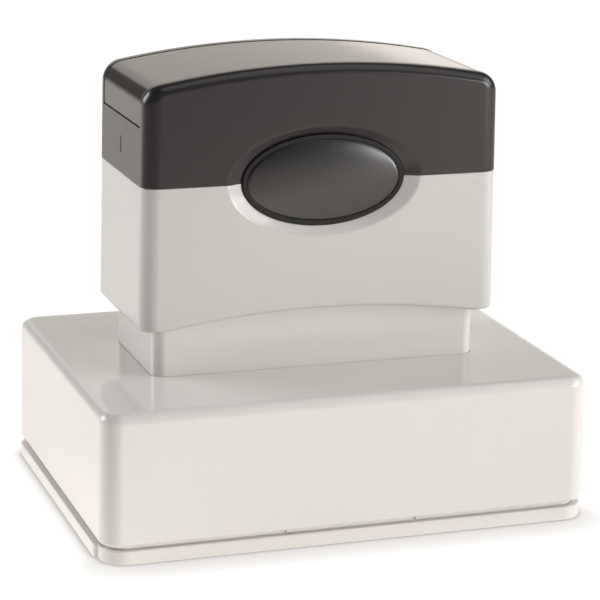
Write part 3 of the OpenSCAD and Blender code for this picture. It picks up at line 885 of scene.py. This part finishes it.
def make_floor():
    """A pale floor that shows white to the camera, with the soft shade of what stands on it."""
    bm = bmesh.new()
    bmesh.ops.create_grid(bm, x_segments=1, y_segments=1, size=FLOOR_HALF)
    floor = placed(bm, "floor")
    material = bpy.data.materials.new("floor")
    material.use_nodes = True
    tree = material.node_tree
    tree.nodes.clear()
    start = Wire(tree)
    seen, mirrored = rays(start)
    place = start.node("TexCoord", out="Object")
    across, along = (start.node("SeparateXYZ", links={0: place}, out=axis) for axis in "XY")
    wide, near = floor_shade(start, along)
    away = 0.5 - FLOOR_SLOPE[0] * across - FLOOR_SLOPE[1] * along
    falloff = start.node("ValToRGB", {"stops": FLOOR_FALLOFF}, {0: away})
    paint = seen.blend(mirrored.blend(FLOOR_PALE, FLOOR_GLOSS), FLOOR_DIM)
    lit = start.node("BsdfDiffuse", links={"Color": paint})
    white = start.node("Emission", links={"Color": (SHADE_TONE_RISE * wide).blend((1, 1, 1), SHADE_TONE),
                                          "Strength": 1.0 - SHADE_DEPTH * wide - SHADE_LINE * near})
    glow = start.node("Emission", links={"Color": falloff,
                                         "Strength": FLOOR_GLOW + (1.0 - FLOOR_GLOW) * mirrored})
    shown = start.node("MixShader", links={0: seen, 1: glow, 2: white})
    whole = start.node("AddShader", links={0: lit, 1: shown})
    tree.links.new(whole.socket, tree.nodes.new("ShaderNodeOutputMaterial").inputs["Surface"])
    floor.data.materials.append(material)


def make_room():
    """White behind for the camera; a pale backdrop and a dim room in the gloss; a dim sky for light."""
    world = bpy.data.worlds.new("studio")
    scene.world = world
    world.use_nodes = True
    tree = world.node_tree
    tree.nodes.clear()
    start = Wire(tree)
    seen, mirrored = rays(start)
    heading = start.node("TexCoord", out="Generated")
    height = start.node("SeparateXYZ", links={0: heading}, out="Z")
    behind = start.node("SeparateXYZ", links={0: heading}, out="Y")
    left = 0.0 - start.node("SeparateXYZ", links={0: heading}, out="X")
    depth = 0.5 + 0.5 * behind - BACKDROP_FADE * (left.maths("MAXIMUM", left, BACKDROP_EDGE) - BACKDROP_EDGE)
    sky, backdrop = (start.node("Background", links={"Color": graded})
                     for graded in (start.node("ValToRGB", {"stops": SKY}, {0: height}),
                                    start.node("ValToRGB", {"stops": BACKDROP}, {0: depth})))
    white = start.node("Background", links={"Color": (1, 1, 1, 1)})
    unseen = start.node("MixShader", links={0: mirrored, 1: sky, 2: backdrop})
    shown = start.node("MixShader", links={0: seen, 1: unseen, 2: white})
    tree.links.new(shown.socket, tree.nodes.new("ShaderNodeOutputWorld").inputs["Surface"])


def lamp(name, azimuth, elevation, distance, size, level, tone, aim=(0, 0, 0.045)):
    """A soft box at a bearing from the front, towards the right, with its brightness against white."""
    light = bpy.data.lights.new(name, "AREA")
    light.shape, light.size, light.size_y = "RECTANGLE", size[0], size[1]
    light.energy = level * math.pi * size[0] * size[1]
    light.color = tone
    obj = bpy.data.objects.new(name, light)
    a, e = math.radians(azimuth), math.radians(elevation)
    away = Vector((math.sin(a) * math.cos(e), -math.cos(a) * math.cos(e), math.sin(e)))
    obj.location = Vector(aim) + away * distance
    obj.rotation_euler = (-away).to_track_quat("-Z", "Y").to_euler()
    obj.visible_camera = False
    scene.collection.objects.link(obj)


def make_camera():
    camera = bpy.data.cameras.new("camera")
    camera.sensor_fit, camera.sensor_width, camera.lens = "HORIZONTAL", SENSOR, LENS
    camera.shift_x, camera.shift_y = SHIFT
    camera.clip_start, camera.clip_end = 0.01, 20.0
    viewer = bpy.data.objects.new("camera", camera)
    viewer.matrix_world = Matrix.Translation(CAMERA_PLACE) @ Matrix(CAMERA_AXES).transposed().to_4x4()
    scene.collection.objects.link(viewer)
    scene.camera = viewer


make_floor()
make_room()
lamp("left_box", azimuth=-123, elevation=20, distance=0.9, size=(0.6, 0.46), level=6.25, tone=COOL)
lamp("front_right_box", azimuth=64, elevation=24, distance=0.72, size=(0.5, 0.39), level=3.5, tone=PLAIN)
lamp("low_right_box", azimuth=43, elevation=5, distance=0.9, size=(0.5, 0.16), level=10.8, tone=PLAIN)
lamp("top_box", azimuth=46, elevation=64, distance=0.9, size=(0.8, 0.8), level=0.95, tone=PLAIN)
lamp("back_box", azimuth=157, elevation=5, distance=1.2, size=(0.7, 0.10), level=0.6, tone=WARM)
make_camera()
scene.view_settings.view_transform = "Standard"
